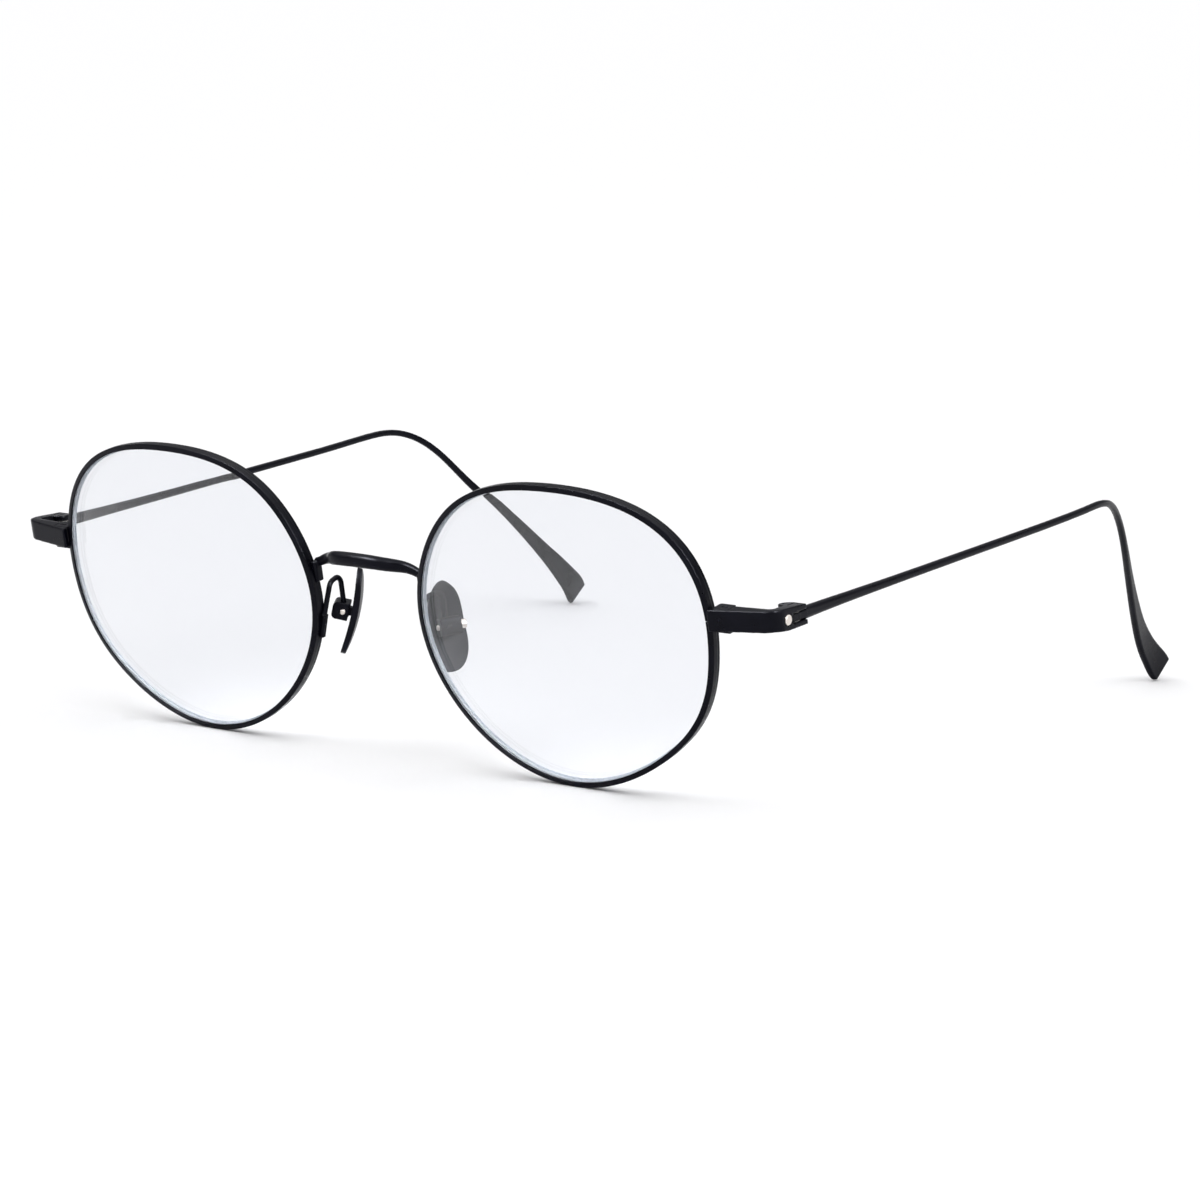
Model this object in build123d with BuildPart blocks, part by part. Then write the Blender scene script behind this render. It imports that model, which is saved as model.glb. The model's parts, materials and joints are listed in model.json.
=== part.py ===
from build123d import *
from math import cos, radians, sin
import os

# Round wire eyeglasses, built at real size in millimetres.
# The front is laid out in its own upright frame: X to the wearer's left, Y back towards
# the ears, Z up the front, with the origin midway between the two lens centres.
# The rims and lenses are built one by one. The other left-hand pieces are modelled and
# mirrored for the right.
# At the end everything is leaned forwards, so that the glasses stand on a table on the
# two rims and the two temple tips, and is moved to have its origin under its middle.

# ---------------------------------------------------------------- driving dimensions
front_lean = 10.85            # degrees the front leans forwards when it stands on a table
lens_spacing = 72.0           # from one lens centre to the other
lens_wrap = 1.7               # degrees each lens is turned back at its outer side
lens_forward = 0.4            # how far the rims stand ahead of the front's origin
base_radius = 92.0            # radius of the curve that both lenses follow
# distance from the lens centre to the rim's lip, every 45 degrees, counted from the
# temple side upwards: a panto shape, wide at the sides and flatter at the top
lip_radii = (25.05, 24.6, 21.3, 23.85, 25.2, 23.45, 22.7, 23.05)

rim_width = 0.8               # lip to outer wall
rim_depth = 1.6               # front to back
bead_depth = 0.95             # front part of the rim, a little wider than the rest
bead_step = 0.1
groove_depth = 0.42           # the lens bevel sits in this groove
groove_front = 0.5
groove_back = 1.2
lens_front = 0.25             # how far the lens face lies behind the rim's front
lens_thickness = 2.2
lens_gap = 0.04               # between the lens and the lip
slit = 0.15                   # gap in the rim between its two closing blocks
slit_height = 4.1

bar_height = 3.2             # flat bar of the end piece
bar_centre = 4.5
bar_tilt = 0.4                # degrees the bar rises towards its outer corner
bar_start = (61.7, 3.2)
bar_back = 5.9
corner_x = 71.95              # outer face of the side arm
corner_y = 5.35
corner_radius = 2.6
arm_thickness = 1.65
arm_end = 12.8

temple_slope = 6.7            # degrees the temple drops towards the ear
pin_position = (70.2, 11.2, 3.65)
pin_radius = 0.55
pin_clearance = 0.04
knuckle_radius = 1.6
ear_height = 2.9              # height over both ears
slot_height = 1.5
slot_start = 1.8              # slot's blind end, ahead of the pin
washer_thickness = 0.2
washer_radius = 1.3
tongue_height = 1.04

block_x = (62.0, 64.7)
block_y = (4.25, 6.5)
block_top = 6.05
block_bottom = 2.6
closing_screw_centre = (63.5, 5.3)
closing_screw_radius = 0.55
stud_radius = 0.75
stud_position = (corner_x, 8.2, 4.1)
stud_depth = 0.4
stud_proud = 0.1

# bridge stations from the middle outwards: position, height and depth of the section
bridge_stations = (
    ((0, 1.0, 8.0), 2.15, 1.9),
    ((2.8, 1.15, 7.9), 2.15, 1.9),
    ((4.65, 1.95, 7.5), 2.1, 1.8),
    ((5.95, 3.15, 6.97), 2.0, 1.7),
    ((7.2, 3.9, 6.6), 1.8, 1.5),
    ((8.6, 4.2, 6.15), 1.55, 1.3),
    ((10.2, 4.3, 5.65), 1.35, 1.15),
)
bridge_foot = ((9.7, 3.25, 2.6), (10.6, 4.9, 5.9))

# temple stations from the hinge to the flat tip: position, width and height
temple_stations = (
    ((71.05, 12.95, 3.44), 1.35, 1.8),
    ((71.0, 18.0, 2.86), 1.3, 1.62),
    ((71.05, 27.0, 1.8), 1.22, 1.38),
    ((71.2, 38.0, 0.52), 1.15, 1.22),
    ((71.65, 63.0, -2.32), 1.1, 1.12),
    ((71.95, 80.0, -4.2), 1.06, 1.06),
    ((72.0, 88.0, -4.98), 1.04, 1.04),
    ((71.7, 92.0, -5.5), 1.04, 1.04),
    ((71.15, 95.3, -6.45), 1.04, 1.04),
    ((70.3, 98.2, -8.05), 1.04, 1.04),
    ((69.4, 100.7, -10.2), 1.04, 1.04),
    ((68.2, 103.7, -13.9), 1.04, 1.06),
    ((66.8, 106.7, -18.4), 1.08, 1.18),
    ((65.2, 109.8, -22.8), 1.1, 1.45),
    ((63.7, 112.8, -27.2), 1.12, 1.85),
    ((62.3, 115.8, -31.7), 1.15, 2.4),
    ((61.5, 117.7, -34.6), 1.16, 2.85),
    ((60.85, 119.6, -37.4), 1.16, 3.5),
    ((60.5, 121.3, -39.9), 1.16, 4.1),
    ((60.4, 122.8, -42.0), 1.14, 4.65),
    ((60.6, 124.2, -44.1), 1.05, 5.3),
    ((60.9, 125.1, -45.3), 0.85, 4.9),
)
temple_end_heading = (0.1, 0.43, -0.9)

wire_radius = 0.4             # pad arm
pad_centre = (10.7, 9.2, -3.6)
pad_back_normal = (0.80, -0.515, 0.31)
pad_screw_direction = (0.553, 0.833, -0.042)
box_width = 3.0
box_height = 2.65
box_outer = 1.65              # from the pad screw to the box's outer face
box_inner = 0.85              # from the pad screw to the box's open side
tab_thickness = 1.2
tab_radius = 0.72
pad_screw_radius = 0.42
pad_screw_end = 0.3           # how far its plain end stands out of the box
pad_screw_head = (0.7, 1.0)   # radius and height
pad_screw_slot = (0.28, 0.4)  # width and depth
pad_stand_off = 1.45          # from the pad screw to the back of the pad
pad_thickness = 1.05
pad_curve = 24.0              # radius of the face against the nose
pad_back_curve = 34.0         # radius of the back face
# outline of the pad seen from its back: distance along the screw, and distance up
pad_outline = (
    (0.7, 6.6),
    (2.15, 4.9),
    (2.65, 0.9),
    (2.5, -4.0),
    (0.6, -6.5),
    (-2.0, -6.0),
    (-2.85, -2.8),
    (-2.35, 1.9),
    (-1.25, 5.5),
)
# pad arm: foot, top of the foot, and the two corners of the turn
arm_points = (
    (10.85, 3.7, -6.0),
    (9.8, 3.85, -2.5),
    (9.85, 6.1, 1.8),
    (10.4, 9.1, 2.0),
)
arm_bends = (1.5, 1.3, 1.3)

# ---------------------------------------------------------------- planes
hinge_plane = Plane(
    origin=pin_position,
    x_dir=(1, 0, 0),
    z_dir=(0, sin(radians(temple_slope)), cos(radians(temple_slope))),
)
pad_plane = Plane(origin=pad_centre, x_dir=pad_screw_direction, z_dir=pad_back_normal)
pad_screw_plane = Plane(
    origin=pad_centre, x_dir=pad_plane.y_dir, z_dir=pad_plane.x_dir
)
pad_axis = Axis(pad_centre, pad_screw_direction)
stud_plane = Plane(origin=stud_position, x_dir=(0, 1, 0), z_dir=(1, 0, 0))


# ---------------------------------------------------------------- rim and lens
# side is 1 for the left-hand lens and -1 for the right-hand one
def lens_plane(side):
    """Plane through the lens centre, facing forwards."""
    turn = radians(lens_wrap) * side
    return Plane(
        origin=(side * lens_spacing / 2, -lens_forward, 0),
        x_dir=(cos(turn), sin(turn), 0),
        z_dir=(sin(turn), -cos(turn), 0),
    )


def lens_outline(grow, side):
    """Closed curve of the rim's lip, grown outwards by an amount."""
    corners = []
    for step, radius in enumerate(lip_radii):
        angle = radians(45 * step)
        corners.append((side * (radius + grow) * cos(angle), (radius + grow) * sin(angle)))
    Spline(*corners, periodic=True)


def curved_slab(grow, front, back, side=1):
    """Slab between two depths behind the front curve, cut to the grown lens outline."""
    plane = lens_plane(side)
    with BuildPart() as slab:
        with BuildSketch(plane.offset(4)):
            with BuildLine():
                lens_outline(grow, side)
            make_face()
        extrude(amount=-16)
        with Locations(plane.offset(-base_radius).origin):
            Sphere(base_radius - front, mode=Mode.INTERSECT)
            Sphere(base_radius - back, mode=Mode.SUBTRACT)
    return slab.part


def make_rim(side):
    """Grooved wire rim, slit at the temple side where the closing screw pulls it shut."""
    bead = curved_slab(rim_width, 0, bead_depth, side)
    band = curved_slab(rim_width - bead_step, bead_depth, rim_depth, side)
    opening = curved_slab(0, -1, rim_depth + 1, side)
    groove = curved_slab(groove_depth, groove_front, groove_back, side)
    slit_at = (side * (lens_spacing / 2 + lip_radii[0]), 4.5, slit_height)
    with BuildPart() as rim:
        add(bead)
        add(band)
        add(opening, mode=Mode.SUBTRACT)
        add(groove, mode=Mode.SUBTRACT)
        with Locations(slit_at):
            Box(4, 6, slit, mode=Mode.SUBTRACT)
    return rim.part


def make_lens(side):
    """Clear lens with a ridge round its edge that sits in the rim's groove."""
    ridge_grow = groove_depth - lens_gap
    disc = curved_slab(-lens_gap, lens_front, lens_front + lens_thickness, side)
    ridge = curved_slab(ridge_grow, groove_front + lens_gap, groove_back - lens_gap, side)
    with BuildPart() as lens:
        add(disc)
        add(ridge)
    return lens.part


# ---------------------------------------------------------------- end piece
def make_end_piece():
    """Flat bar across the rim, wrapped round the corner and forked into two hinge ears."""
    tilt_plane = Plane(
        origin=(bar_start[0], 0, 0),
        x_dir=(0, 1, 0),
        z_dir=(cos(radians(bar_tilt)), 0, sin(radians(bar_tilt))),
    ).offset(-3)
    arm_inner = corner_x - arm_thickness
    low = bar_centre - bar_height / 2
    high = bar_centre + bar_height / 2
    envelope = curved_slab(rim_width, 0, 12)
    with BuildPart() as end_piece:
        with BuildSketch(Plane.XY.offset(-2)) as plan:
            with BuildLine():
                Polyline(
                    bar_start,
                    (corner_x, corner_y),
                    (corner_x, arm_end),
                    (pin_position[0], arm_end),
                    (arm_inner, bar_back + 0.95),
                    (bar_start[0], bar_back - 0.1),
                    close=True,
                )
            make_face()
            outer_corner = plan.vertices().sort_by_distance((corner_x, corner_y))[0]
            fillet(outer_corner, corner_radius)
            inner_corner = plan.vertices().sort_by_distance((arm_inner, bar_back + 0.95))[0]
            fillet(inner_corner, 0.8)
            with Locations((pin_position[0], pin_position[1])):
                Circle(knuckle_radius)
        extrude(amount=12)
        with BuildSketch(tilt_plane):
            with BuildLine():
                Polyline(
                    (1, low),
                    (5.8, low),
                    (8.5, low - 0.5),
                    (14, low - 1.1),
                    (14, low - 1.1 + ear_height),
                    (8.5, high - 0.45),
                    (5.8, high),
                    (1, high),
                    close=True,
                )
            make_face()
        extrude(amount=20, mode=Mode.INTERSECT)
        add(envelope, mode=Mode.SUBTRACT)
        with BuildSketch(Plane.XY):
            with Locations((block_x[1] - 4, block_y[0] + 4)):
                Rectangle(8, 8)
        extrude(amount=12, mode=Mode.SUBTRACT)
        with BuildSketch(hinge_plane):
            with Locations((0, 5 - slot_start)):
                Rectangle(8, 10)
        extrude(amount=slot_height / 2, both=True, mode=Mode.SUBTRACT)
        with BuildSketch(hinge_plane):
            Circle(pin_radius)
        extrude(amount=4, both=True, mode=Mode.SUBTRACT)
        with BuildSketch(hinge_plane.offset(ear_height / 2 - 0.3)):
            Circle(1.02)
        extrude(amount=2, mode=Mode.SUBTRACT)
        with BuildSketch(stud_plane.offset(1)):
            Circle(stud_radius)
        extrude(amount=-1 - stud_depth, mode=Mode.SUBTRACT)
    return end_piece.part


def make_stud():
    """Round bare-metal stud set into the outer face of the side arm."""
    with BuildPart() as stud:
        with BuildSketch(stud_plane.offset(-stud_depth)):
            Circle(stud_radius)
        extrude(amount=stud_depth + stud_proud)
        fillet(stud.faces().sort_by(Axis.X)[-1].edges(), 0.08)
    return stud.part


def make_closing_block(low, high):
    """Half of the closing block soldered to the rim's outer wall behind the bar."""
    disc = curved_slab(rim_width, 0, rim_depth)
    with BuildPart() as block:
        with BuildSketch(Plane.XY.offset(low)) as plan:
            with Locations((sum(block_x) / 2, sum(block_y) / 2)):
                Rectangle(block_x[1] - block_x[0], block_y[1] - block_y[0])
            fillet(plan.vertices().group_by(Axis.Y)[-1], 0.35)
            with Locations(closing_screw_centre):
                Circle(closing_screw_radius, mode=Mode.SUBTRACT)
        extrude(amount=high - low)
        add(disc, mode=Mode.SUBTRACT)
    return block.part


def make_closing_screw():
    """Slotted screw that pulls the two closing blocks together, flush with their top."""
    with BuildPart() as screw:
        with BuildSketch(Plane.XY.offset(block_bottom)):
            with Locations(closing_screw_centre):
                Circle(closing_screw_radius)
        extrude(amount=block_top - block_bottom)
        with BuildSketch(Plane.XY.offset(block_top)):
            with Locations(closing_screw_centre):
                Rectangle(2, 0.25)
        extrude(amount=-0.2, mode=Mode.SUBTRACT)
    return screw.part


# ---------------------------------------------------------------- temple and hinge
def cross_plane(before, here, after, side):
    """Plane across a path at one of its points, with its x axis towards one side."""
    heading = (Vector(*after) - Vector(*before)).normalized()
    across = Vector(*side) - heading * Vector(*side).dot(heading)
    return Plane(origin=here, x_dir=across.normalized(), z_dir=heading)


def cross_planes(points, side):
    """One plane across a path at each of its points, with its x axis towards one side."""
    planes = []
    for index, here in enumerate(points):
        before = points[max(index - 1, 0)]
        after = points[min(index + 1, len(points) - 1)]
        planes.append(cross_plane(before, here, after, side))
    return planes


def make_temple():
    """Knuckle, slim bar, ear bend and flat tip of one temple, all in one piece."""
    points = [station[0] for station in temple_stations]
    planes = cross_planes(points, (1, 0, 0))
    planes[-1] = cross_plane((0, 0, 0), temple_end_heading, temple_end_heading, (1, 0, 0))
    planes[-1].origin = points[-1]
    with BuildPart() as temple:
        for plane, (_, width, height) in zip(planes, temple_stations):
            with BuildSketch(plane):
                RectangleRounded(width, height, 0.4 * width)
        loft()
        fillet(temple.faces().sort_by(Axis.Y)[-1].edges(), 0.2)
        with BuildSketch(hinge_plane):
            Circle(knuckle_radius - 0.05)
            with Locations((0.68, 0.2)):
                Rectangle(1.7, 3.5)
        extrude(amount=tongue_height / 2, both=True)
        with BuildSketch(hinge_plane):
            Circle(pin_radius + pin_clearance)
        extrude(amount=2, both=True, mode=Mode.SUBTRACT)
    return temple.part


def make_hinge_screw():
    """Slotted hinge screw, its head sunk in the upper ear."""
    top = ear_height / 2
    with BuildPart() as screw:
        with BuildSketch(hinge_plane.offset(-top + 0.05)):
            Circle(pin_radius)
        extrude(amount=2 * top - 0.05)
        with BuildSketch(hinge_plane.offset(top - 0.3)):
            Circle(1.0)
        extrude(amount=0.35)
        with BuildSketch(hinge_plane.offset(top + 0.05)):
            Rectangle(0.28, 2.4)
        extrude(amount=-0.18, mode=Mode.SUBTRACT)
    return screw.part


def make_hinge_washers():
    """Two thin washers that keep the knuckle off the ears."""
    gap = (slot_height - tongue_height) / 2
    middle = tongue_height / 2 + gap / 2
    with BuildPart() as washers:
        for height in (-middle, middle):
            with BuildSketch(hinge_plane.offset(height)):
                Circle(washer_radius)
                Circle(pin_radius + pin_clearance, mode=Mode.SUBTRACT)
            extrude(amount=washer_thickness / 2, both=True)
    return washers.part


# ---------------------------------------------------------------- bridge
def make_bridge():
    """Oval bar bowed forwards, drawn down to thin necks with a foot on each rim."""
    outwards = list(bridge_stations[1:])
    stations = [((-x, y, z), height, depth) for (x, y, z), height, depth in reversed(outwards)]
    stations += list(bridge_stations)
    planes = cross_planes([station[0] for station in stations], (0, -1, 0))
    disc = curved_slab(rim_width, 0, rim_depth)
    low, high = bridge_foot
    middle = [(a + b) / 2 for a, b in zip(low, high)]
    with BuildPart() as foot:
        with Locations(tuple(middle)):
            Box(high[0] - low[0], high[1] - low[1], high[2] - low[2])
        fillet(foot.faces().sort_by(Axis.X)[0].edges(), 0.35)
    with BuildPart() as bridge:
        for plane, (_, height, depth) in zip(planes, stations):
            with BuildSketch(plane):
                Ellipse(depth / 2, height / 2)
        loft()
        add(foot)
        mirror(foot.part, about=Plane.YZ)
        add(disc, mode=Mode.SUBTRACT)
        add(curved_slab(rim_width, 0, rim_depth, -1), mode=Mode.SUBTRACT)
    return bridge.part


# ---------------------------------------------------------------- nose pad and its arm
def pad_point(along_screw, up, out):
    """Point given from the middle of the pad screw."""
    return pad_plane.from_local_coords(Vector(along_screw, up, out))


def make_pad_arm():
    """Wire soldered up the rim, turned over backwards and down into the pad box."""
    disc = curved_slab(rim_width, 0, rim_depth)
    end = pad_point(-0.5, 0.9, 0.1)
    foot_low, foot_high = arm_points[0], arm_points[1]
    foot_plane = cross_plane(foot_low, foot_low, foot_high, (1, 0, 0))
    foot_length = (Vector(*foot_high) - Vector(*foot_low)).length
    with BuildPart() as arm:
        with BuildLine() as path:
            FilletPolyline(*arm_points, end, radius=arm_bends)
        with BuildSketch(foot_plane):
            Circle(wire_radius)
        sweep(path=path.line)
        with BuildSketch(foot_plane):
            RectangleRounded(1.05, 0.95, 0.3)
        extrude(amount=foot_length)
        add(disc, mode=Mode.SUBTRACT)
    return arm.part


def make_pad_box(arm):
    """Small box that the pad's tab is screwed into, open to the pad and below."""
    with BuildPart() as box:
        with BuildSketch(pad_screw_plane.offset(-box_width / 2)) as side:
            with Locations((0, (box_outer - box_inner) / 2)):
                Rectangle(box_height, box_outer + box_inner)
            fillet(side.vertices().group_by(Axis.Y)[-1], 0.7)
        extrude(amount=box_width)
        with BuildSketch(pad_screw_plane.offset(-tab_thickness / 2 - 0.05)):
            with Locations((0.8 - 1.5, 0)):
                Rectangle(3, 1.9)
        extrude(amount=tab_thickness + 0.1, mode=Mode.SUBTRACT)
        with BuildSketch(pad_screw_plane):
            Circle(pad_screw_radius)
        extrude(amount=box_width, both=True, mode=Mode.SUBTRACT)
        add(arm, mode=Mode.SUBTRACT)
    return box.part


def make_pad_screw():
    """Bare-metal pad screw with a slotted head at the back."""
    half = box_width / 2
    head_radius, head_height = pad_screw_head
    slot_width, slot_depth = pad_screw_slot
    with BuildPart() as screw:
        with BuildSketch(pad_screw_plane.offset(-half - pad_screw_end)):
            Circle(pad_screw_radius)
        extrude(amount=box_width + pad_screw_end)
        fillet(screw.faces().sort_by(pad_axis)[0].edges(), 0.2)
        with BuildSketch(pad_screw_plane.offset(half)):
            Circle(head_radius)
        extrude(amount=head_height)
        fillet(screw.faces().sort_by(pad_axis)[-1].edges(), 0.15)
        with BuildSketch(pad_screw_plane.offset(half + head_height)):
            Rectangle(3 * head_radius, slot_width)
        extrude(amount=-slot_depth, mode=Mode.SUBTRACT)
    return screw.part


def make_nose_pad():
    """Thin curved pad, narrow at the top and rounded below."""
    nose_face = pad_point(0, 0, -pad_stand_off - pad_thickness + pad_curve)
    back_face = pad_point(0, 0, -pad_stand_off + pad_back_curve)
    with BuildPart() as pad:
        with BuildSketch(pad_plane.offset(-pad_stand_off - 3)):
            with BuildLine():
                Spline(*pad_outline, periodic=True)
            make_face()
        extrude(amount=6)
        with Locations(nose_face):
            Sphere(pad_curve, mode=Mode.INTERSECT)
        with Locations(back_face):
            Sphere(pad_back_curve, mode=Mode.SUBTRACT)
    return pad.part


def make_pad_tab(pad):
    """Tab fixed to the back of the pad, with an eye for the pad screw."""
    with BuildPart() as tab:
        with BuildSketch(pad_screw_plane.offset(-tab_thickness / 2)):
            Circle(tab_radius)
            with Locations((0, -1)):
                Rectangle(1.2, 2)
            Circle(pad_screw_radius + 0.04, mode=Mode.SUBTRACT)
        extrude(amount=tab_thickness)
        add(pad, mode=Mode.SUBTRACT)
    return tab.part.solids().sort_by_distance(pad_plane.origin)[0]


# ---------------------------------------------------------------- build, mirror and write
def make_left_pieces():
    """Left-hand pieces but the rim and lens, in the upright frame of the front."""
    arm = make_pad_arm()
    pad = make_nose_pad()
    return {
        "end_piece": make_end_piece(),
        "closing_block_upper": make_closing_block(slit_height + slit / 2, block_top),
        "closing_block_lower": make_closing_block(block_bottom, slit_height - slit / 2),
        "closing_screw": make_closing_screw(),
        "stud": make_stud(),
        "hinge_screw": make_hinge_screw(),
        "hinge_washers": make_hinge_washers(),
        "temple": make_temple(),
        "pad_arm": arm,
        "pad_box": make_pad_box(arm),
        "pad_screw": make_pad_screw(),
        "nose_pad": pad,
        "pad_tab": make_pad_tab(pad),
    }


def make_all_pieces():
    """Both hands and the bridge, leaned forwards but not yet centred."""
    pieces = {"bridge": make_bridge()}
    for hand, side in (("left_", 1), ("right_", -1)):
        pieces[hand + "rim"] = make_rim(side)
        pieces[hand + "lens"] = make_lens(side)
    for name, piece in make_left_pieces().items():
        pieces["left_" + name] = piece
        pieces["right_" + name] = piece.mirror(Plane.YZ)
    return {name: piece.rotate(Axis.X, front_lean) for name, piece in pieces.items()}


pieces = make_all_pieces()
boxes = [piece.bounding_box() for piece in pieces.values()]
front_y = min(box.min.Y for box in boxes)
back_y = max(box.max.Y for box in boxes)
lowest_z = min(box.min.Z for box in boxes)
seat_shift = (0, -(front_y + back_y) / 2, -lowest_z)

os.makedirs("parts", exist_ok=True)
for name, piece in pieces.items():
    seated = piece.moved(Location(seat_shift))
    seated.label = name
    export_step(seated, f"parts/{name}.step")
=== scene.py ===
import json
from math import cos, radians, sin

import bmesh
import bpy
from mathutils import Matrix, Vector


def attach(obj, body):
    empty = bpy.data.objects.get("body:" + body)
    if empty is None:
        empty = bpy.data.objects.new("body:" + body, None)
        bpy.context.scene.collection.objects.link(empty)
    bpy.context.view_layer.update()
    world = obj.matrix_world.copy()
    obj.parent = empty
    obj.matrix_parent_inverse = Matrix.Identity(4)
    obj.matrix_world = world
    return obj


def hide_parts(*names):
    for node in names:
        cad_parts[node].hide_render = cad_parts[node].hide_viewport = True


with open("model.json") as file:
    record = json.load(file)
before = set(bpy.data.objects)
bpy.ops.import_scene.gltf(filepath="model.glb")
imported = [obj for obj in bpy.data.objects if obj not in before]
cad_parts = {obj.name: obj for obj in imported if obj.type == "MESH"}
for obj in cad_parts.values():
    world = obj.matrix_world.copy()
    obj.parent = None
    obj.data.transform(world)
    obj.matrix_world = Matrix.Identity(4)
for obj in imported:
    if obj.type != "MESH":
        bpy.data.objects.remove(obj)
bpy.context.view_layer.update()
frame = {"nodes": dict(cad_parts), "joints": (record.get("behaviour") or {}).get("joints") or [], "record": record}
nodes = frame["nodes"]
bodies = frame["record"]["behaviour"]["bodies"]
body_of = {node: body for body, members in bodies.items() for node in members}
slot_of = {row["node"]: row["material_slot"] for row in frame["record"]["subparts"]}

# ---------------------------------------------------------------- dimensions
# upright frame of the front, in millimetres and degrees
front_lean = 10.85
hinge_pin = (70.2, 11.2, 3.65)
lens_centre = (36, -0.4, 0)   # middle of the left lens
lens_curve = 92               # radius of the sphere that lens and rim follow
lens_turn = 1.7               # each lens faces outward by this much
bar_end = 8.6                 # how far back the softening of the end piece reaches
fade_length = 2               # stretch before that over which it starts to fade

# finer meshes and shading, lengths in metres
weld_distance = 0.000002
ground_ring = 0.00045         # width of the ground ring on the lens's back
edge_slope = 0.6              # a lens face whose normal is less along the axis is its edge
sharp_angle = 35              # degrees between lens faces that stay a sharp corner
coat_edge = 0.00025           # radius that the coat's shading gives to sharp edges
noise_low, noise_high = 0.3, 0.7   # most of a noise lies between these

# camera, fitted to the photo
camera_offset = (0.38155, -0.44291, 0.10047)   # metres from the middle of the front
camera_turn, camera_dip = 37.23, 9.58

# ---------------------------------------------------------------- where the front stands
fold = next(joint for joint in frame["joints"] if joint["name"] == "left_temple_fold")
lean = Matrix.Rotation(radians(front_lean), 4, "X")
seat = Matrix.Translation(Vector(fold["pos_m"]) - lean @ (Vector(hinge_pin) / 1000)) @ lean


def placed(x, y, z):
    """Point given in millimetres in the upright frame of the front."""
    return seat @ (Vector((x, y, z)) / 1000)


# ---------------------------------------------------------------- material helpers
def principled(name):
    """New material, its node tree and its shader."""
    mat = bpy.data.materials.new(name)
    mat.use_nodes = True
    return mat, mat.node_tree, mat.node_tree.nodes["Principled BSDF"]


def noise(tree, scale, detail):
    """Noise in object coordinates."""
    coords = tree.nodes.get("Coords")
    if coords is None:
        coords = tree.nodes.new("ShaderNodeTexCoord")
        coords.name = "Coords"
    texture = tree.nodes.new("ShaderNodeTexNoise")
    texture.inputs["Scale"].default_value = scale
    texture.inputs["Detail"].default_value = detail
    texture.inputs["Roughness"].default_value = 0.55
    tree.links.new(coords.outputs["Object"], texture.inputs["Vector"])
    return texture.outputs["Fac"]


def ramp(tree, source, stops):
    """Colour ramp over a list of places and colours."""
    node = tree.nodes.new("ShaderNodeValToRGB")
    elements = node.color_ramp.elements
    while len(elements) < len(stops):
        elements.new(0.5)
    for element, (place, color) in zip(elements, stops):
        element.position = place
        element.color = (*color, 1)
    tree.links.new(source, node.inputs["Fac"])
    return node.outputs["Color"]


def mottle(tree, shader, source, dark, light):
    """Base colour that wanders between two tones with a noise."""
    color = ramp(tree, source, ((noise_low, dark), (noise_high, light)))
    tree.links.new(color, shader.inputs["Base Color"])


def vary_roughness(tree, shader, source, low, high):
    """Roughness that wanders between two values with a noise."""
    node = tree.nodes.new("ShaderNodeMapRange")
    node.inputs["From Min"].default_value = noise_low
    node.inputs["From Max"].default_value = noise_high
    node.inputs["To Min"].default_value = low
    node.inputs["To Max"].default_value = high
    tree.links.new(source, node.inputs["Value"])
    tree.links.new(node.outputs["Result"], shader.inputs["Roughness"])


def bump(tree, shader, source, strength, distance, edge=0.0):
    """Fine relief from a noise, over sharp edges shaded round by the radius edge."""
    node = tree.nodes.new("ShaderNodeBump")
    if edge:
        rounded = tree.nodes.new("ShaderNodeBevel")
        rounded.samples = 6
        rounded.inputs["Radius"].default_value = edge
        tree.links.new(rounded.outputs["Normal"], node.inputs["Normal"])
    node.inputs["Strength"].default_value = strength
    node.inputs["Distance"].default_value = distance
    tree.links.new(source, node.inputs["Height"])
    tree.links.new(node.outputs["Normal"], shader.inputs["Normal"])


# ---------------------------------------------------------------- materials
def coated_metal(name, dark, light, rough, specular):
    """Thin satin coating over metal: cloudy tone, fine grain and a soft sheen."""
    mat, tree, shader = principled(name)
    clouds = noise(tree, 260, 4)
    grain = noise(tree, 9000, 2)
    mottle(tree, shader, clouds, dark, light)
    vary_roughness(tree, shader, clouds, *rough)
    shader.inputs["Specular IOR Level"].default_value = specular
    shader.inputs["Specular Tint"].default_value = (0.86, 0.88, 1, 1)
    bump(tree, shader, grain, 0.12, 0.00002, edge=coat_edge)
    return mat


def turned_metal(name, dark, light, rough):
    """Bare turned metal with a fine grain."""
    mat, tree, shader = principled(name)
    clouds = noise(tree, 900, 3)
    grain = noise(tree, 14000, 1)
    mottle(tree, shader, clouds, dark, light)
    vary_roughness(tree, shader, clouds, *rough)
    shader.inputs["Metallic"].default_value = 1.0
    bump(tree, shader, grain, 0.2, 0.00002)
    return mat


def washer_nylon():
    """Pale moulded nylon with faint specks."""
    mat, tree, shader = principled("washer_plastic")
    mottle(tree, shader, noise(tree, 3000, 2), (0.3, 0.29, 0.27), (0.36, 0.35, 0.33))
    shader.inputs["Roughness"].default_value = 0.55
    return mat


def lens_glass():
    """Clear polished lens with a faint cool tint."""
    mat, tree, shader = principled("clear_lens")
    shader.inputs["Base Color"].default_value = (0.85, 0.862, 0.89, 1)
    shader.inputs["Roughness"].default_value = 0.0
    shader.inputs["Transmission Weight"].default_value = 1.0
    shader.inputs["IOR"].default_value = 1.5
    return mat


def ground_glass():
    """Frosted white edge that the grinding wheel leaves on a lens."""
    mat, tree, shader = principled("frosted_edge")
    grind = noise(tree, 2500, 4)
    mottle(tree, shader, grind, (0.5, 0.54, 0.58), (0.68, 0.71, 0.75))
    shader.inputs["Roughness"].default_value = 0.55
    bump(tree, shader, grind, 0.15, 0.00003)
    return mat


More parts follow.
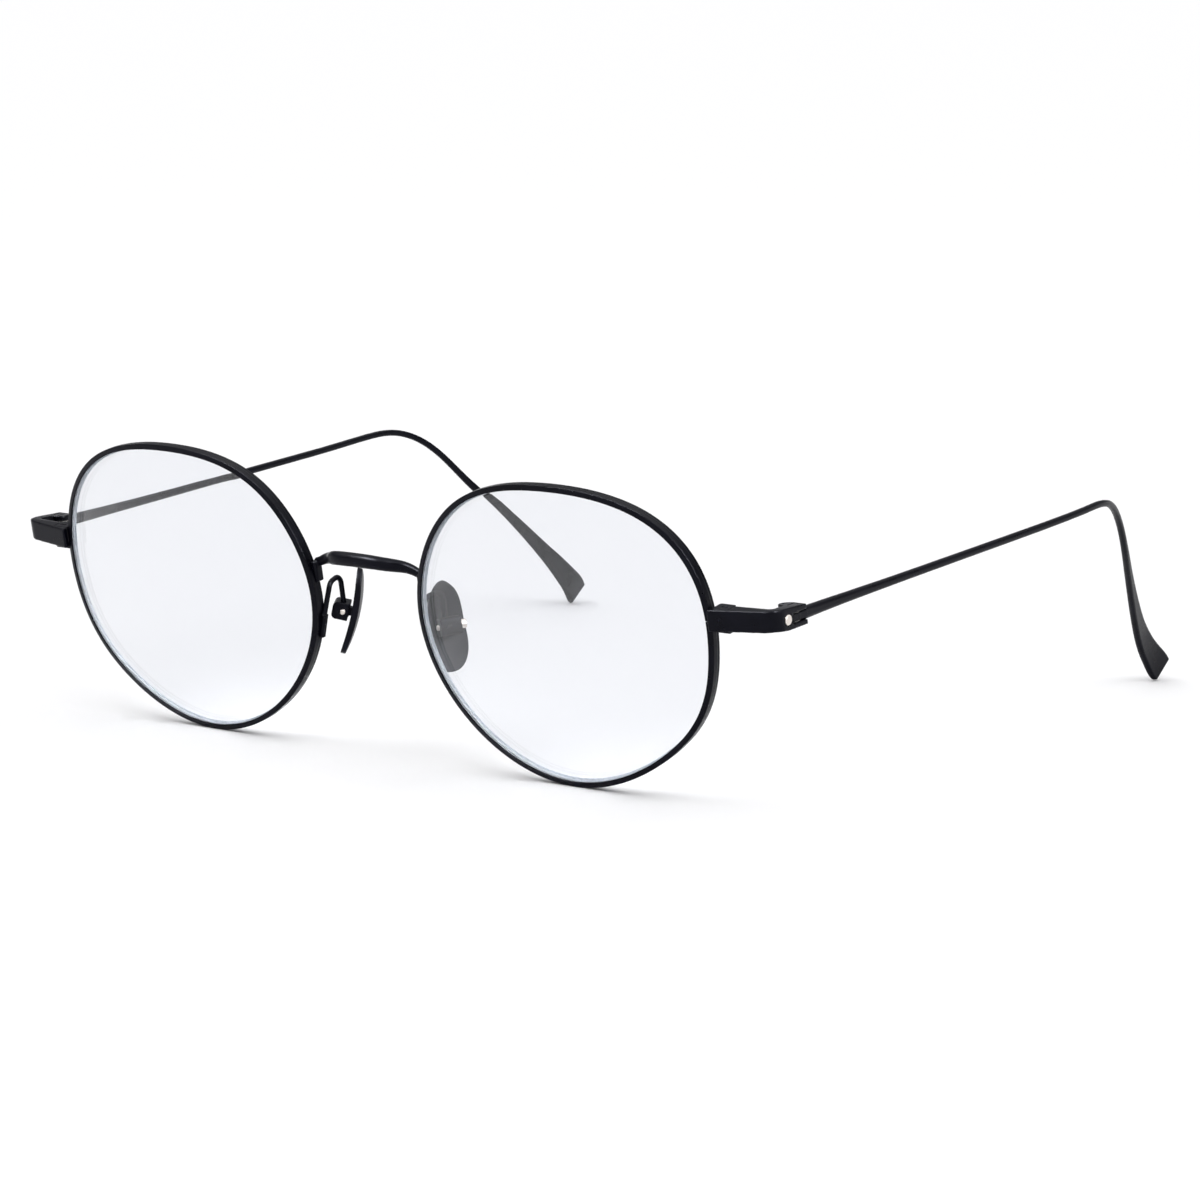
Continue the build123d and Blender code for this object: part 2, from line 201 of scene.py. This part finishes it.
materials = {
    "black_metal": coated_metal(
        "black_metal", (0.001, 0.001, 0.0026), (0.0026, 0.0026, 0.0062), (0.24, 0.36), 0.1
    ),
    "pad_metal": coated_metal(
        "pad_metal", (0.002, 0.002, 0.004), (0.005, 0.005, 0.009), (0.28, 0.4), 0.09
    ),
    "bare_metal": turned_metal("bare_metal", (0.6, 0.55, 0.5), (0.78, 0.73, 0.68), (0.28, 0.42)),
    "washer_plastic": washer_nylon(),
    "clear_lens": lens_glass(),
}
screw_metal = turned_metal("screw_metal", (0.05, 0.05, 0.055), (0.1, 0.1, 0.11), (0.25, 0.4))
frosted_edge = ground_glass()

for name, obj in nodes.items():
    obj.data.materials.clear()
    obj.data.materials.append(materials[slot_of[name]])
for prefix in ("left_", "right_"):
    nodes[prefix + "hinge_screw"].data.materials[0] = screw_metal


# ---------------------------------------------------------------- finer pieces from the nodes
def finer(name, suffix):
    """New piece with the shape and material of a CAD node, which it stands for."""
    mesh = nodes[name].data.copy()
    mesh.name = name + suffix
    piece = bpy.data.objects.new(name + suffix, mesh)
    bpy.context.scene.collection.objects.link(piece)
    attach(piece, body_of[name])
    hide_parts(name)
    return piece


def freeze(piece):
    """Turns the shape that the modifiers give into the piece's own mesh."""
    shape = piece.evaluated_get(bpy.context.evaluated_depsgraph_get())
    mesh = bpy.data.meshes.new_from_object(shape)
    piece.modifiers.clear()
    piece.data = mesh


def soften(piece, grain, rounds, freedom=None):
    """Wears sharp edges down: an even mesh of that grain, then smoothed that many rounds.

    freedom, if given, takes a vertex's place and returns how far it is smoothed, 0 to 1.
    """
    weld = piece.modifiers.new("weld", "WELD")
    weld.merge_threshold = weld_distance
    remesh = piece.modifiers.new("even_mesh", "REMESH")
    remesh.mode = "VOXEL"
    remesh.voxel_size = grain
    remesh.use_smooth_shade = True
    if freedom:
        freeze(piece)
        free = piece.vertex_groups.new(name="free")
        for vertex in piece.data.vertices:
            free.add([vertex.index], freedom(vertex.co), "REPLACE")
    smooth = piece.modifiers.new("worn_edges", "SMOOTH")
    smooth.factor = 0.5
    smooth.iterations = rounds
    if freedom:
        smooth.vertex_group = "free"


def bar_only(place):
    """Freedom of the end piece: 1 on its bar and corner, down to 0.25 on the hinge ears."""
    back = (seat.inverted() @ place).y * 1000
    return max(0.25, min(1.0, (bar_end - back) / fade_length))


def lens_axis(side):
    """Direction from a lens to the centre of the sphere that it follows."""
    x, y, z = lens_centre
    turn = radians(lens_turn)
    centre = placed(side * (x - lens_curve * sin(turn)), y + lens_curve * cos(turn), z)
    return (centre - placed(side * x, y, z)).normalized()


def make_glass(prefix, axis):
    """Lens whose edge is ground, with a narrow ground ring on its back."""
    lens = finer(prefix + "lens", "_glass")
    lens.data.materials.append(frosted_edge)
    work = bmesh.new()
    work.from_mesh(lens.data)
    bmesh.ops.remove_doubles(work, verts=work.verts, dist=weld_distance)
    back = [face for face in work.faces if face.normal.dot(axis) > edge_slope]
    bmesh.ops.inset_region(work, faces=back, thickness=ground_ring)
    work.normal_update()
    edge = [face for face in work.faces if abs(face.normal.dot(axis)) < edge_slope]
    outline = {line for face in edge for line in face.edges}
    for face in work.faces:
        face.smooth = True
        on_back = face.normal.dot(axis) > edge_slope
        face.material_index = int(on_back and any(line in outline for line in face.edges))
    for face in edge:
        face.material_index = 1
    work.to_mesh(lens.data)
    work.free()
    sharp = lens.modifiers.new("sharp_rim", "EDGE_SPLIT")
    sharp.split_angle = radians(sharp_angle)


for prefix, side in (("left_", 1), ("right_", -1)):
    make_glass(prefix, lens_axis(side))
    soften(finer(prefix + "end_piece", "_arm"), grain=0.00009, rounds=40, freedom=bar_only)
    soften(finer(prefix + "pad_box", "_case"), grain=0.00007, rounds=8)
    soften(finer(prefix + "nose_pad", "_leaf"), grain=0.0001, rounds=4)
soften(finer("bridge", "_bar"), grain=0.0001, rounds=12)


# ---------------------------------------------------------------- floor and light
def make_floor(half):
    """Wide matt floor at the height that the glasses stand on."""
    mesh = bpy.data.meshes.new("floor")
    corners = [(-half, -half, 0), (half, -half, 0), (half, half, 0), (-half, half, 0)]
    mesh.from_pydata(corners, [], [(0, 1, 2, 3)])
    floor = bpy.data.objects.new("floor", mesh)
    bpy.context.scene.collection.objects.link(floor)
    paint, tree, shader = principled("floor_paint")
    shader.inputs["Base Color"].default_value = (0.93, 0.93, 0.935, 1)
    shader.inputs["Roughness"].default_value = 0.8
    shader.inputs["Specular IOR Level"].default_value = 0.0
    mesh.materials.append(paint)


def make_studio():
    """White horizon and ceiling, with a dark band between that keeps the black metal black."""
    world = bpy.data.worlds.new("studio")
    bpy.context.scene.world = world
    world.use_nodes = True
    tree = world.node_tree
    direction = tree.nodes.new("ShaderNodeTexCoord")
    height = tree.nodes.new("ShaderNodeSeparateXYZ")
    tree.links.new(direction.outputs["Generated"], height.inputs["Vector"])
    white = (1, 1, 1)
    stops = (
        (0.0, white),
        (0.06, white),
        (0.14, (0.18, 0.18, 0.19)),
        (0.6, (0.22, 0.22, 0.23)),
        (0.75, white),
    )
    sky = ramp(tree, height.outputs["Z"], stops)
    tree.links.new(sky, tree.nodes["Background"].inputs["Color"])
    tree.nodes["Background"].inputs["Strength"].default_value = 1.66


def softbox(name, place, size, power, sheen_only=False):
    """Rectangular lamp turned to the glasses; sheen_only lets it show in gloss alone."""
    lamp = bpy.data.lights.new(name, "AREA")
    lamp.shape = "RECTANGLE"
    lamp.size, lamp.size_y = size
    lamp.energy = power
    obj = bpy.data.objects.new(name, lamp)
    obj.location = place
    obj.rotation_euler = (-Vector(place)).to_track_quat("-Z", "Y").to_euler()
    obj.visible_diffuse = not sheen_only
    obj.visible_transmission = not sheen_only
    bpy.context.scene.collection.objects.link(obj)


make_floor(half=60)
make_studio()
softbox("key", (0.25, -0.35, 0.75), size=(0.5, 0.25), power=0.6)
softbox("strip", (-0.1, -0.45, 0.5), size=(0.5, 0.06), power=15.0, sheen_only=True)
softbox("side_strip", (0.45, -0.1, 0.3), size=(0.06, 0.3), power=7.0, sheen_only=True)
bpy.context.scene.view_settings.view_transform = "Standard"

# ---------------------------------------------------------------- camera
cam = bpy.data.cameras.new("camera")
cam.lens = 121.1
cam.sensor_width = 36
cam.clip_start = 0.01
camera = bpy.data.objects.new("camera", cam)
bpy.context.scene.collection.objects.link(camera)
camera.location = seat.translation + Vector(camera_offset)
camera.rotation_euler = (radians(90 - camera_dip), 0, radians(camera_turn))
bpy.context.scene.camera = camera
